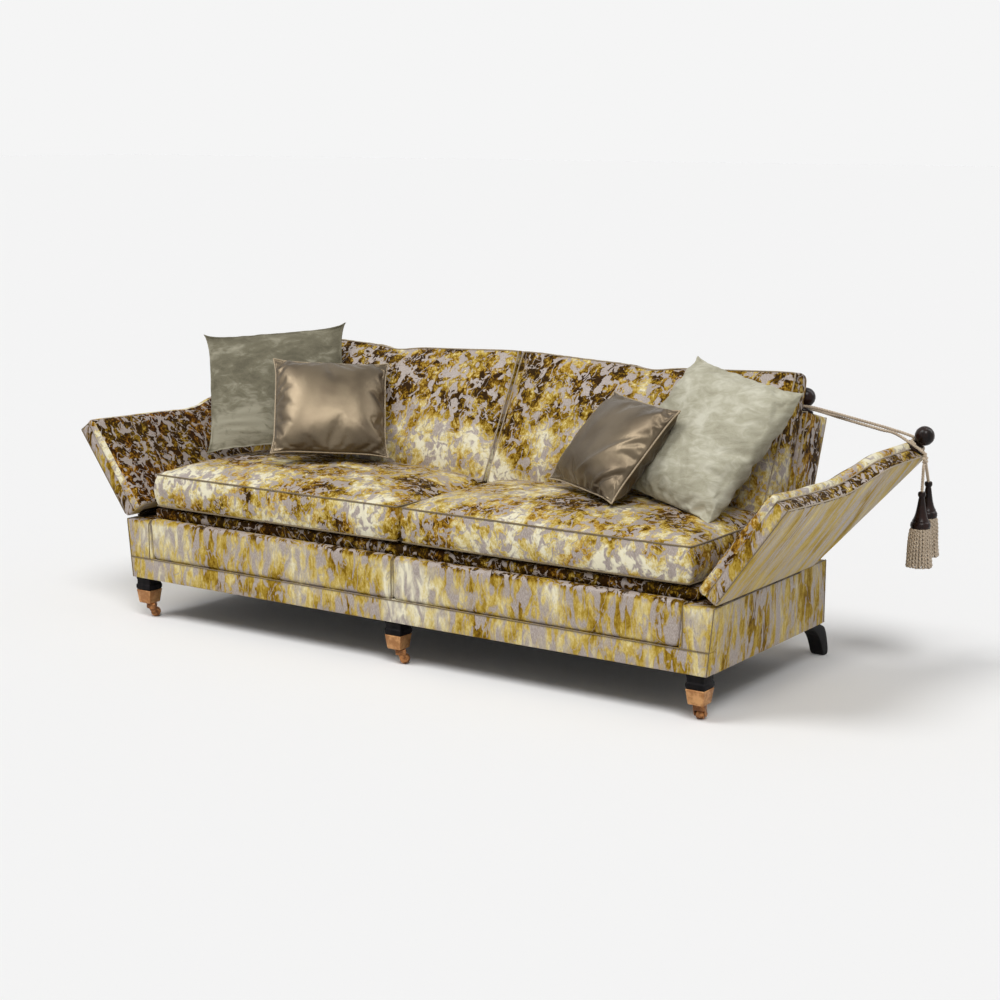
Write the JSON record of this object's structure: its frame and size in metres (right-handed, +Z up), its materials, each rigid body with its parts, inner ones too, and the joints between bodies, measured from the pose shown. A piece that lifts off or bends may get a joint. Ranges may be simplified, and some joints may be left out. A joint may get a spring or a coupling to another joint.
{
  "type": "drop-arm sofa",
  "caption": "Long upholstered sofa with hinged arms that let down on tie cords, loose seat and back cushions, scatter cushions, tasselled cords, castors in front and swept feet behind.",
  "frame": {"origin": "Centre of the bounding box on the floor.", "axes": "X runs along the sofa to the sitter's left, which is the right of the picture, Y points to the back, and Z is up. The front faces -Y."},
  "size_m": [2.7962, 0.9705, 0.9918],
  "materials": {
    "brocade": "cut velvet brocade in olive gold, brown and pale grey",
    "platform_cloth": "plain dark platform cloth",
    "black_cloth": "thin dust cloth",
    "beech": "raw sawn",
    "dark_wood": "dark polished",
    "ebonised": "ebonised satin",
    "copper": "coppery satin metal",
    "old_brass": "darkened brass",
    "steel": "plain",
    "sage_velvet": "plain velvet",
    "bronze_satin": "lustrous satin",
    "rope": "twisted cord and cut fringe"
  },
  "bodies": {
    "sofa": {"front_border": "brocade", "left_side_border": "brocade", "right_side_border": "brocade", "rear_border": "brocade", "front_rail": "beech", "rear_rail": "beech", "left_rail": "beech", "centre_rail": "beech", "right_rail": "beech", "seat_deck": "platform_cloth", "dust_cover": "black_cloth", "back_upholstery": "brocade", "back_frame": "beech", "left_back_finial": "dark_wood", "right_back_finial": "dark_wood", "left_seat_cushion": "brocade", "right_seat_cushion": "brocade", "left_back_cushion": "brocade", "right_back_cushion": "brocade", "left_velvet_cushion": "sage_velvet", "right_velvet_cushion": "sage_velvet", "left_satin_cushion": "bronze_satin", "right_satin_cushion": "bronze_satin", "left_front_foot": "ebonised", "centre_front_foot": "ebonised", "right_front_foot": "ebonised", "left_foot_cup": "copper", "centre_foot_cup": "copper", "right_foot_cup": "copper", "left_rear_foot": "ebonised", "centre_rear_foot": "ebonised", "right_rear_foot": "ebonised", "left_hinge_base_leaf": "steel", "right_hinge_base_leaf": "steel", "left_tie_cord": "rope", "right_tie_cord": "rope"},
    "left_arm": {"left_arm_upholstery": "brocade", "left_arm_board": "beech", "left_arm_finial": "dark_wood", "left_hinge_arm_leaf": "steel", "left_knot": "rope"},
    "right_arm": {"right_arm_upholstery": "brocade", "right_arm_board": "beech", "right_arm_finial": "dark_wood", "right_hinge_arm_leaf": "steel", "right_knot": "rope"},
    "left_front_tassel": {"left_front_tassel_head": "dark_wood", "left_front_tassel_skirt": "rope"},
    "left_rear_tassel": {"left_rear_tassel_head": "dark_wood", "left_rear_tassel_skirt": "rope"},
    "right_front_tassel": {"right_front_tassel_head": "dark_wood", "right_front_tassel_skirt": "rope"},
    "right_rear_tassel": {"right_rear_tassel_head": "dark_wood", "right_rear_tassel_skirt": "rope"},
    "left_castor": {"left_castor_horn": "old_brass"},
    "centre_castor": {"centre_castor_horn": "old_brass"},
    "right_castor": {"right_castor_horn": "old_brass"},
    "left_wheel": {"left_castor_wheel": "old_brass"},
    "centre_wheel": {"centre_castor_wheel": "old_brass"},
    "right_wheel": {"right_castor_wheel": "old_brass"}
  },
  "joints": [
    {"name": "left_arm_drop", "type": "hinge", "parent": "sofa", "child": "left_arm", "pos_m": [-1.1153, -0.1855, 0.3433], "axis": [0, 1, 0], "range_deg": [0, 36], "deforming": ["left_tie_cord"]},
    {"name": "right_arm_drop", "type": "hinge", "parent": "sofa", "child": "right_arm", "pos_m": [1.1153, -0.1855, 0.3433], "axis": [0, -1, 0], "range_deg": [0, 36], "deforming": ["right_tie_cord"]},
    {"name": "left_front_tassel_swing", "type": "hinge", "parent": "left_arm", "child": "left_front_tassel", "pos_m": [-1.36909, 0.3755, 0.66199], "axis": [0, 1, 0], "range_deg": [-36, 0]},
    {"name": "left_rear_tassel_swing", "type": "hinge", "parent": "left_arm", "child": "left_rear_tassel", "pos_m": [-1.36909, 0.3755, 0.66199], "axis": [0, 1, 0], "range_deg": [-36, 0]},
    {"name": "right_front_tassel_swing", "type": "hinge", "parent": "right_arm", "child": "right_front_tassel", "pos_m": [1.36909, 0.3755, 0.66199], "axis": [0, -1, 0], "range_deg": [-36, 0]},
    {"name": "right_rear_tassel_swing", "type": "hinge", "parent": "right_arm", "child": "right_rear_tassel", "pos_m": [1.36909, 0.3755, 0.66199], "axis": [0, -1, 0], "range_deg": [-36, 0]},
    {"name": "left_castor_swivel", "type": "hinge", "parent": "sofa", "child": "left_castor", "pos_m": [-1.061, -0.4505, 0.05], "axis": [0, 0, 1], "continuous": true},
    {"name": "centre_castor_swivel", "type": "hinge", "parent": "sofa", "child": "centre_castor", "pos_m": [0, -0.4505, 0.05], "axis": [0, 0, 1], "continuous": true},
    {"name": "right_castor_swivel", "type": "hinge", "parent": "sofa", "child": "right_castor", "pos_m": [1.061, -0.4505, 0.05], "axis": [0, 0, 1], "continuous": true},
    {"name": "left_wheel_spin", "type": "hinge", "parent": "left_castor", "child": "left_wheel", "pos_m": [-1.04568, -0.43764, 0.01674], "axis": [0.6428, -0.766, 0], "continuous": true},
    {"name": "centre_wheel_spin", "type": "hinge", "parent": "centre_castor", "child": "centre_wheel", "pos_m": [0.01532, -0.43764, 0.01674], "axis": [0.6428, -0.766, 0], "continuous": true},
    {"name": "right_wheel_spin", "type": "hinge", "parent": "right_castor", "child": "right_wheel", "pos_m": [1.05582, -0.43118, 0.01674], "axis": [0.9659, 0.2588, 0], "continuous": true}
  ],
  "couplings": [
    {"joint": "left_front_tassel_swing", "follows": "left_arm_drop", "ratio": -1},
    {"joint": "left_rear_tassel_swing", "follows": "left_arm_drop", "ratio": -1},
    {"joint": "right_front_tassel_swing", "follows": "right_arm_drop", "ratio": -1},
    {"joint": "right_rear_tassel_swing", "follows": "right_arm_drop", "ratio": -1}
  ]
}
